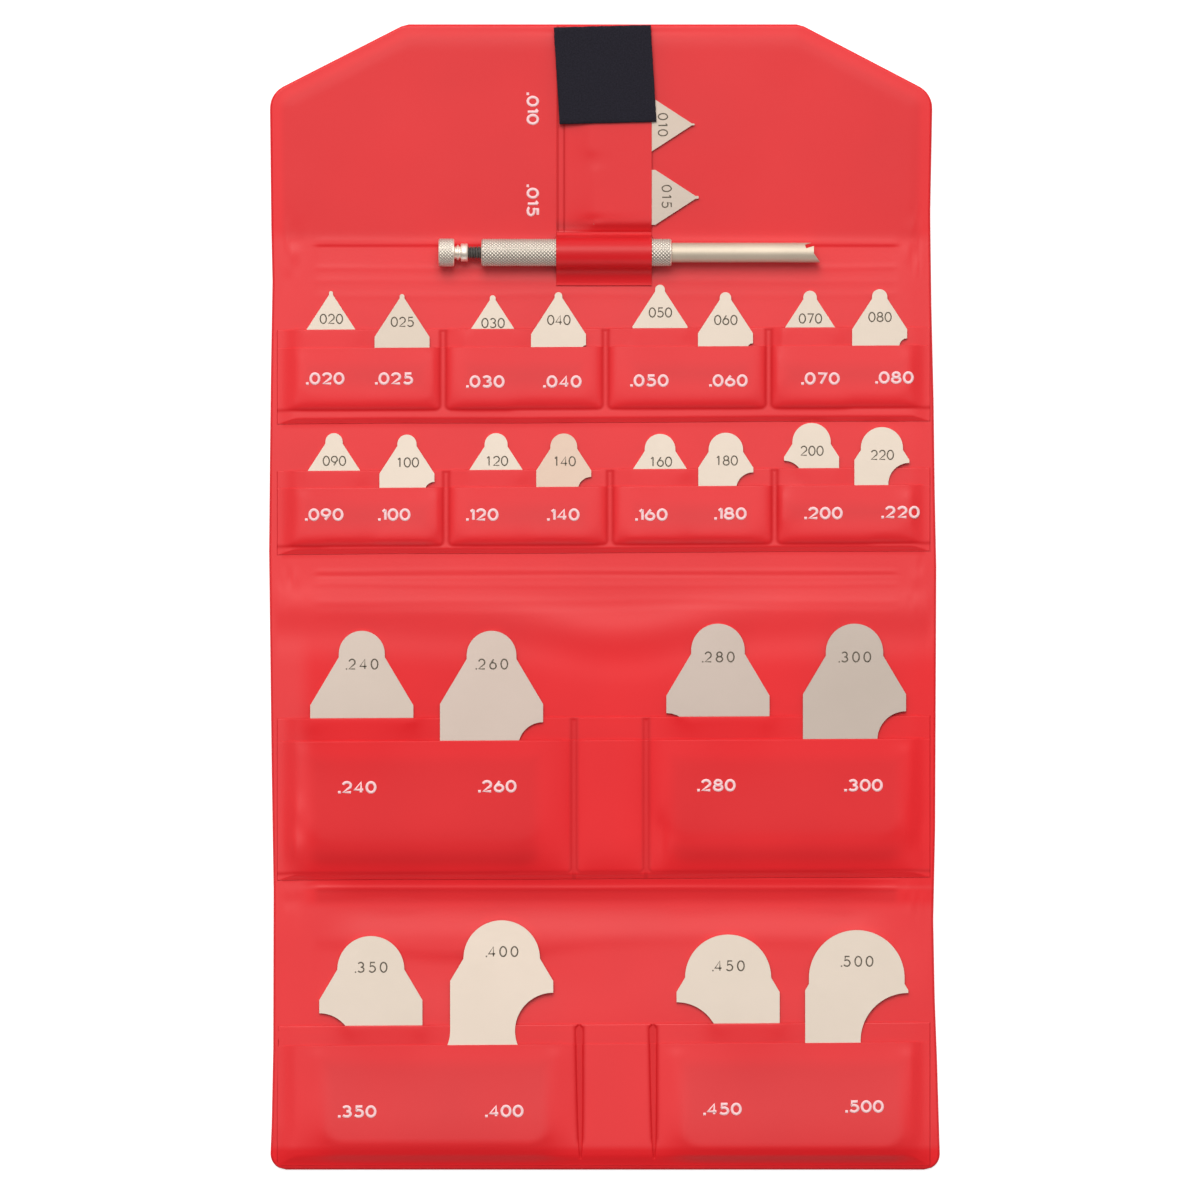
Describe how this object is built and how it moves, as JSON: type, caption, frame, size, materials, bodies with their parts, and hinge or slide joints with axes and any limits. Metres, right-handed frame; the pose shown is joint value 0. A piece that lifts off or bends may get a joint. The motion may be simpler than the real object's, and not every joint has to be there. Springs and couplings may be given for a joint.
{
  "type": "radius gauge set",
  "caption": "Flat steel radius gauges in the pockets of a fold-up red vinyl wallet, with a screw clamp holder under a strap loop.",
  "frame": {"origin": "under the middle of the open wallet, on the surface that it lies on", "axes": "+Y up the wallet towards its closing flap, +X to the right along the pocket rows, +Z out of the pockets"},
  "size_m": [0.1778, 0.3048, 0.0097],
  "materials": {
    "red_vinyl": "soft satin vinyl",
    "blade_steel": "satin ground",
    "holder_steel": "turned and knurled",
    "black_steel": "black oxide",
    "hook_and_loop": "woven pile"
  },
  "bodies": {
    "case": {"back_patch": "hook_and_loop", "flap_patch": "hook_and_loop", "gauge_010": "blade_steel", "gauge_015": "blade_steel", "gauge_020": "blade_steel", "gauge_025": "blade_steel", "gauge_030": "blade_steel", "gauge_040": "blade_steel", "gauge_050": "blade_steel", "gauge_060": "blade_steel", "gauge_070": "blade_steel", "gauge_080": "blade_steel", "gauge_090": "blade_steel", "gauge_100": "blade_steel", "gauge_120": "blade_steel", "gauge_140": "blade_steel", "gauge_160": "blade_steel", "gauge_180": "blade_steel", "gauge_200": "blade_steel", "gauge_220": "blade_steel", "gauge_240": "blade_steel", "gauge_260": "blade_steel", "gauge_280": "blade_steel", "gauge_300": "blade_steel", "gauge_350": "blade_steel", "gauge_400": "blade_steel", "gauge_450": "blade_steel", "gauge_500": "blade_steel", "holder_body": "holder_steel", "holder_strap": "red_vinyl", "holder_tube": "holder_steel", "row_1_back_pocket": "red_vinyl", "row_1_front_pocket": "red_vinyl", "row_2_back_pocket": "red_vinyl", "row_2_front_pocket": "red_vinyl", "row_3_back_pocket": "red_vinyl", "row_3_front_pocket": "red_vinyl", "row_4_back_pocket": "red_vinyl", "row_4_front_pocket": "red_vinyl", "wallet_cover": "red_vinyl", "wallet_liner": "red_vinyl"},
    "push_rod": {"clamp_rod": "holder_steel"},
    "thumb_screw": {"clamp_knob": "holder_steel", "clamp_screw": "black_steel"}
  },
  "joints": [
    {"name": "rod_slide", "type": "slide", "parent": "case", "child": "push_rod", "axis": [1, 0, 0], "range_m": [-0.0042, 0.0034]},
    {"name": "knob_turn", "type": "hinge", "parent": "push_rod", "child": "thumb_screw", "pos_m": [-0.04, 0.09151, 0.0057], "axis": [1, 0, 0], "range_deg": [-2161, 1750]}
  ],
  "couplings": [
    {"joint": "knob_turn", "follows": "rod_slide", "rad_per_m": 8976}
  ]
}
